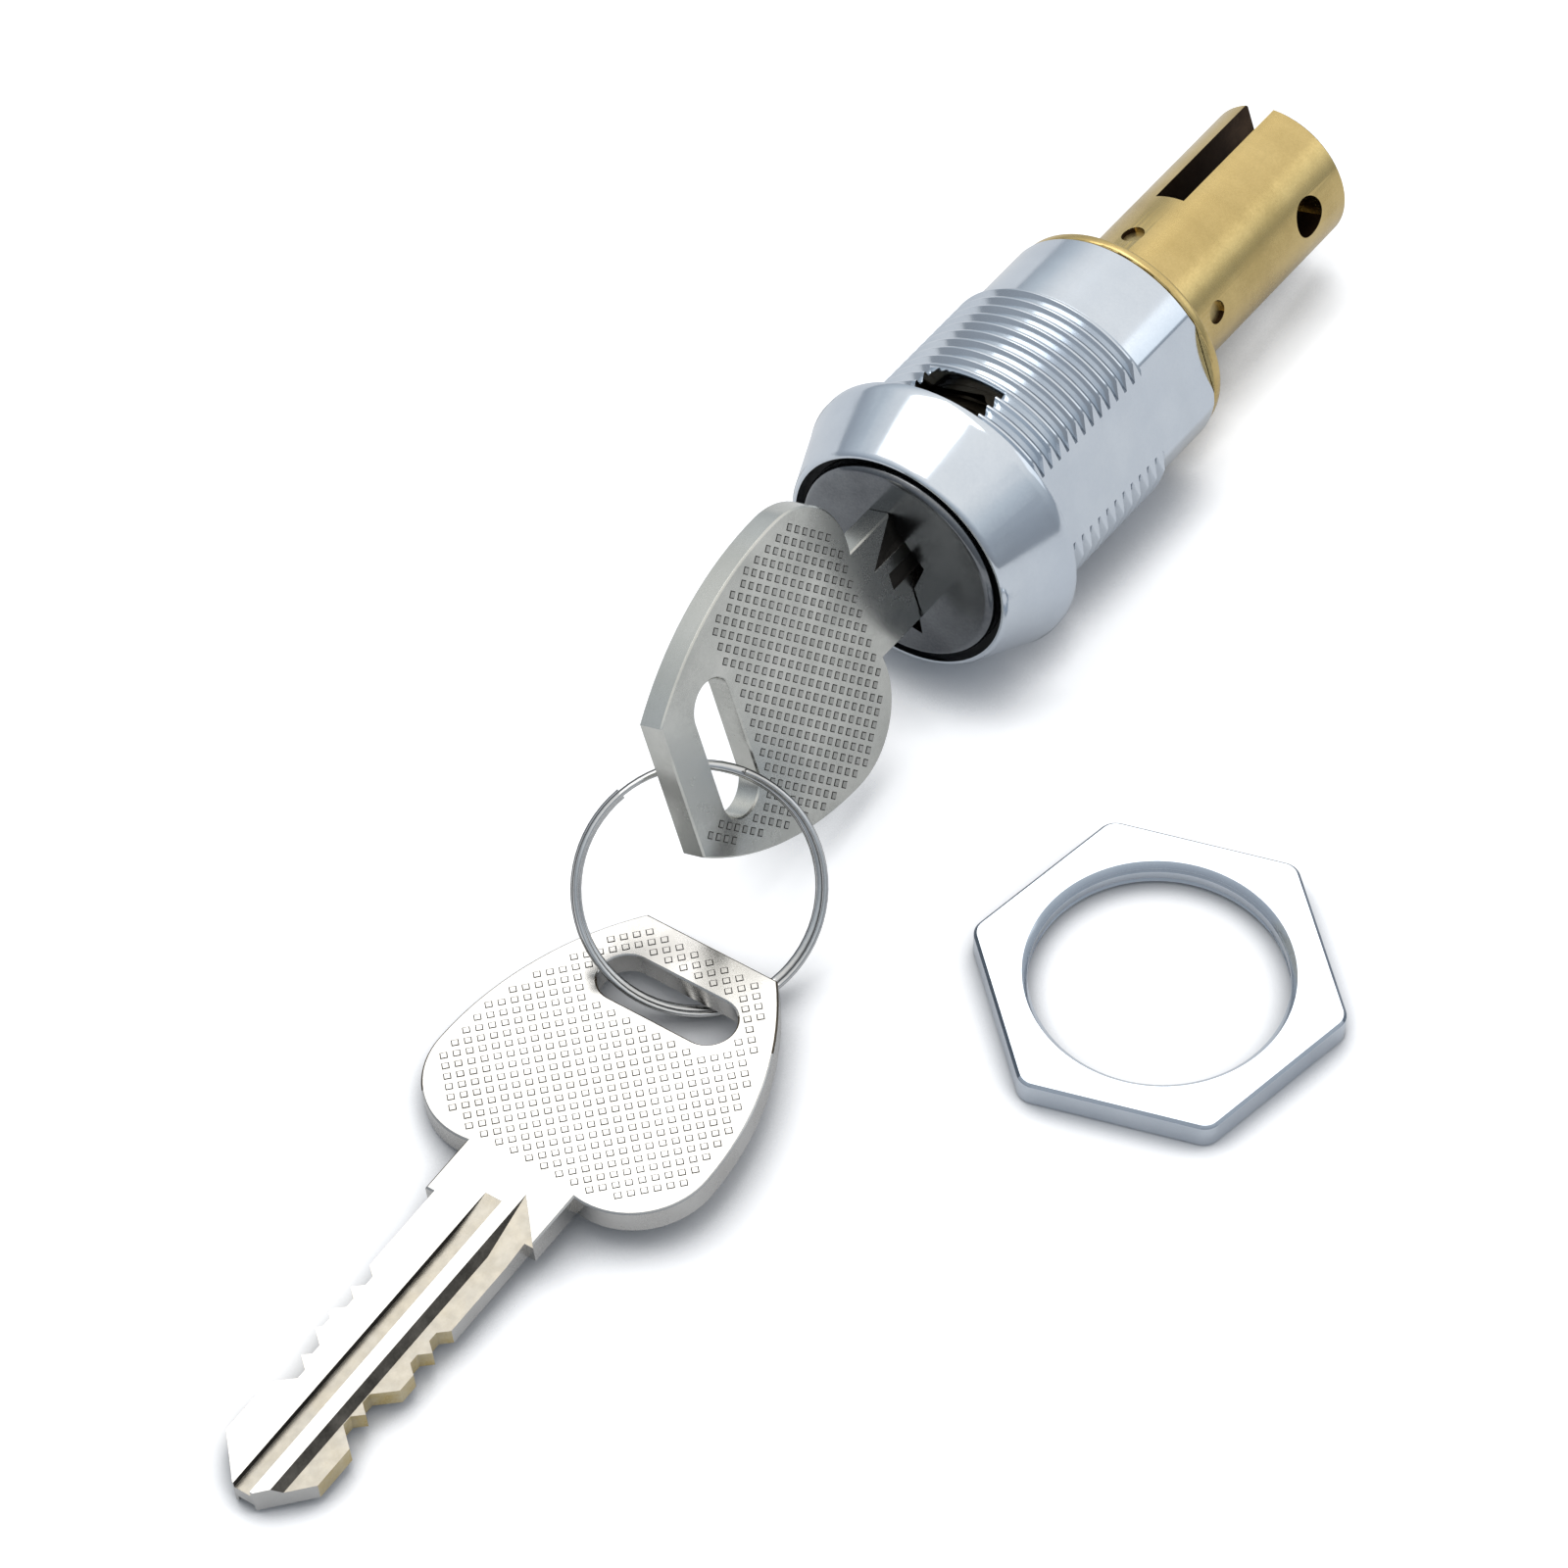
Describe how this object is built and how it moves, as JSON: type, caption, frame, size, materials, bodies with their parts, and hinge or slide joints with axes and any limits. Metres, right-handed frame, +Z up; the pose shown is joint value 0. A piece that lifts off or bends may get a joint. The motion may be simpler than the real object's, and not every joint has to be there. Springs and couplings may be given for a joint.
{
  "type": "cylinder lock",
  "caption": "Panel-mounted cylinder lock with threaded double-D barrel, slotted tail, key in place, spare key on a split ring and loose hexagonal fixing nut.",
  "frame": {"origin": "on the lock's axis at the bezel's seat, which lies against the panel's front", "axes": "+Y along the lock towards its tail, level with the surface that everything lies on, +Z up; the lock's axis drops towards the tail by 5.8 degrees"},
  "size_m": [0.0635, 0.1528, 0.0277],
  "materials": {
    "body_chrome": "bright chrome plate on a zinc casting",
    "seal_rubber": "matt black rubber",
    "plug_brass": "turned brass",
    "cap_steel": "polished stainless steel sheet",
    "wafer_brass": "stamped brass",
    "spring_steel": "spring wire",
    "washer_brass": "satin brass",
    "tail_brass": "satin turned brass tube",
    "pin_brass": "plain brass rod",
    "nut_zinc": "bright zinc plate",
    "key_nickel": "nickel plate with an embossed pattern of small squares",
    "ring_steel": "bright spring steel"
  },
  "bodies": {
    "lock": {"lock_body": "body_chrome", "face_seal": "seal_rubber"},
    "plug": {"plug": "plug_brass", "plug_cap": "cap_steel", "retainer_wafer": "wafer_brass", "retainer_spring": "spring_steel", "thrust_washer": "washer_brass", "tail_sleeve": "tail_brass", "tail_pins": "pin_brass", "wafer_spring_1": "spring_steel", "wafer_spring_2": "spring_steel", "wafer_spring_3": "spring_steel", "wafer_spring_4": "spring_steel", "wafer_spring_5": "spring_steel", "wafer_spring_6": "spring_steel", "wafer_spring_7": "spring_steel", "wafer_spring_8": "spring_steel", "wafer_spring_9": "spring_steel", "wafer_spring_10": "spring_steel"},
    "key": {"key_inserted": "key_nickel"},
    "ring": {"key_ring": "ring_steel"},
    "spare": {"key_spare": "key_nickel"},
    "nut": {"hex_nut": "nut_zinc"},
    "wafer_1": {"wafer_1": "wafer_brass"},
    "wafer_2": {"wafer_2": "wafer_brass"},
    "wafer_3": {"wafer_3": "wafer_brass"},
    "wafer_4": {"wafer_4": "wafer_brass"},
    "wafer_5": {"wafer_5": "wafer_brass"},
    "wafer_6": {"wafer_6": "wafer_brass"},
    "wafer_7": {"wafer_7": "wafer_brass"},
    "wafer_8": {"wafer_8": "wafer_brass"},
    "wafer_9": {"wafer_9": "wafer_brass"},
    "wafer_10": {"wafer_10": "wafer_brass"}
  },
  "joints": [
    {"name": "plug_turn", "type": "hinge", "parent": "lock", "child": "plug", "pos_m": [0, 0, 0], "axis": [0, 0.9949, -0.1005], "range_deg": [0, 90]},
    {"name": "key_withdraw", "type": "slide", "parent": "plug", "child": "key", "axis": [0, -0.9949, 0.1005], "range_m": [0, 0.03]},
    {"name": "ring_swing", "type": "hinge", "parent": "key", "child": "ring", "pos_m": [0.0009, -0.03218, 0.00107], "axis": [-0.9239, -0.0385, -0.3807], "range_deg": [0, 35]},
    {"name": "spare_slide", "type": "hinge", "parent": "ring", "child": "spare", "pos_m": [0.0034, -0.03937, -0.00519], "axis": [-0.5054, 0.4599, -0.7302], "range_deg": [0, 30]},
    {"name": "nut_lift", "type": "slide", "parent": "lock", "child": "nut", "axis": [0, 0, 1], "range_m": [0, 0.03]},
    {"name": "wafer_1_slide", "type": "slide", "parent": "plug", "child": "wafer_1", "axis": [-0.3827, 0.0929, 0.9192], "range_m": [0, 0.00081]},
    {"name": "wafer_2_slide", "type": "slide", "parent": "plug", "child": "wafer_2", "axis": [0.3827, -0.0929, -0.9192], "range_m": [0, 0.00081]},
    {"name": "wafer_3_slide", "type": "slide", "parent": "plug", "child": "wafer_3", "axis": [-0.3827, 0.0929, 0.9192], "range_m": [0, 0.00081]},
    {"name": "wafer_4_slide", "type": "slide", "parent": "plug", "child": "wafer_4", "axis": [0.3827, -0.0929, -0.9192], "range_m": [0, 0.00081]},
    {"name": "wafer_5_slide", "type": "slide", "parent": "plug", "child": "wafer_5", "axis": [-0.3827, 0.0929, 0.9192], "range_m": [0, 0.00081]},
    {"name": "wafer_6_slide", "type": "slide", "parent": "plug", "child": "wafer_6", "axis": [0.3827, -0.0929, -0.9192], "range_m": [0, 0.00081]},
    {"name": "wafer_7_slide", "type": "slide", "parent": "plug", "child": "wafer_7", "axis": [-0.3827, 0.0929, 0.9192], "range_m": [0, 0.00081]},
    {"name": "wafer_8_slide", "type": "slide", "parent": "plug", "child": "wafer_8", "axis": [0.3827, -0.0929, -0.9192], "range_m": [0, 0.00081]},
    {"name": "wafer_9_slide", "type": "slide", "parent": "plug", "child": "wafer_9", "axis": [-0.3827, 0.0929, 0.9192], "range_m": [0, 0.00081]},
    {"name": "wafer_10_slide", "type": "slide", "parent": "plug", "child": "wafer_10", "axis": [0.3827, -0.0929, -0.9192], "range_m": [0, 0.00081]}
  ],
  "couplings": [
    {"joint": "wafer_1_slide", "follows": "key_withdraw", "ratio": 0.026667},
    {"joint": "wafer_2_slide", "follows": "key_withdraw", "ratio": 0.026667},
    {"joint": "wafer_3_slide", "follows": "key_withdraw", "ratio": 0.026667},
    {"joint": "wafer_4_slide", "follows": "key_withdraw", "ratio": 0.026667},
    {"joint": "wafer_5_slide", "follows": "key_withdraw", "ratio": 0.026667},
    {"joint": "wafer_6_slide", "follows": "key_withdraw", "ratio": 0.026667},
    {"joint": "wafer_7_slide", "follows": "key_withdraw", "ratio": 0.026667},
    {"joint": "wafer_8_slide", "follows": "key_withdraw", "ratio": 0.026667},
    {"joint": "wafer_9_slide", "follows": "key_withdraw", "ratio": 0.026667},
    {"joint": "wafer_10_slide", "follows": "key_withdraw", "ratio": 0.026667}
  ]
}
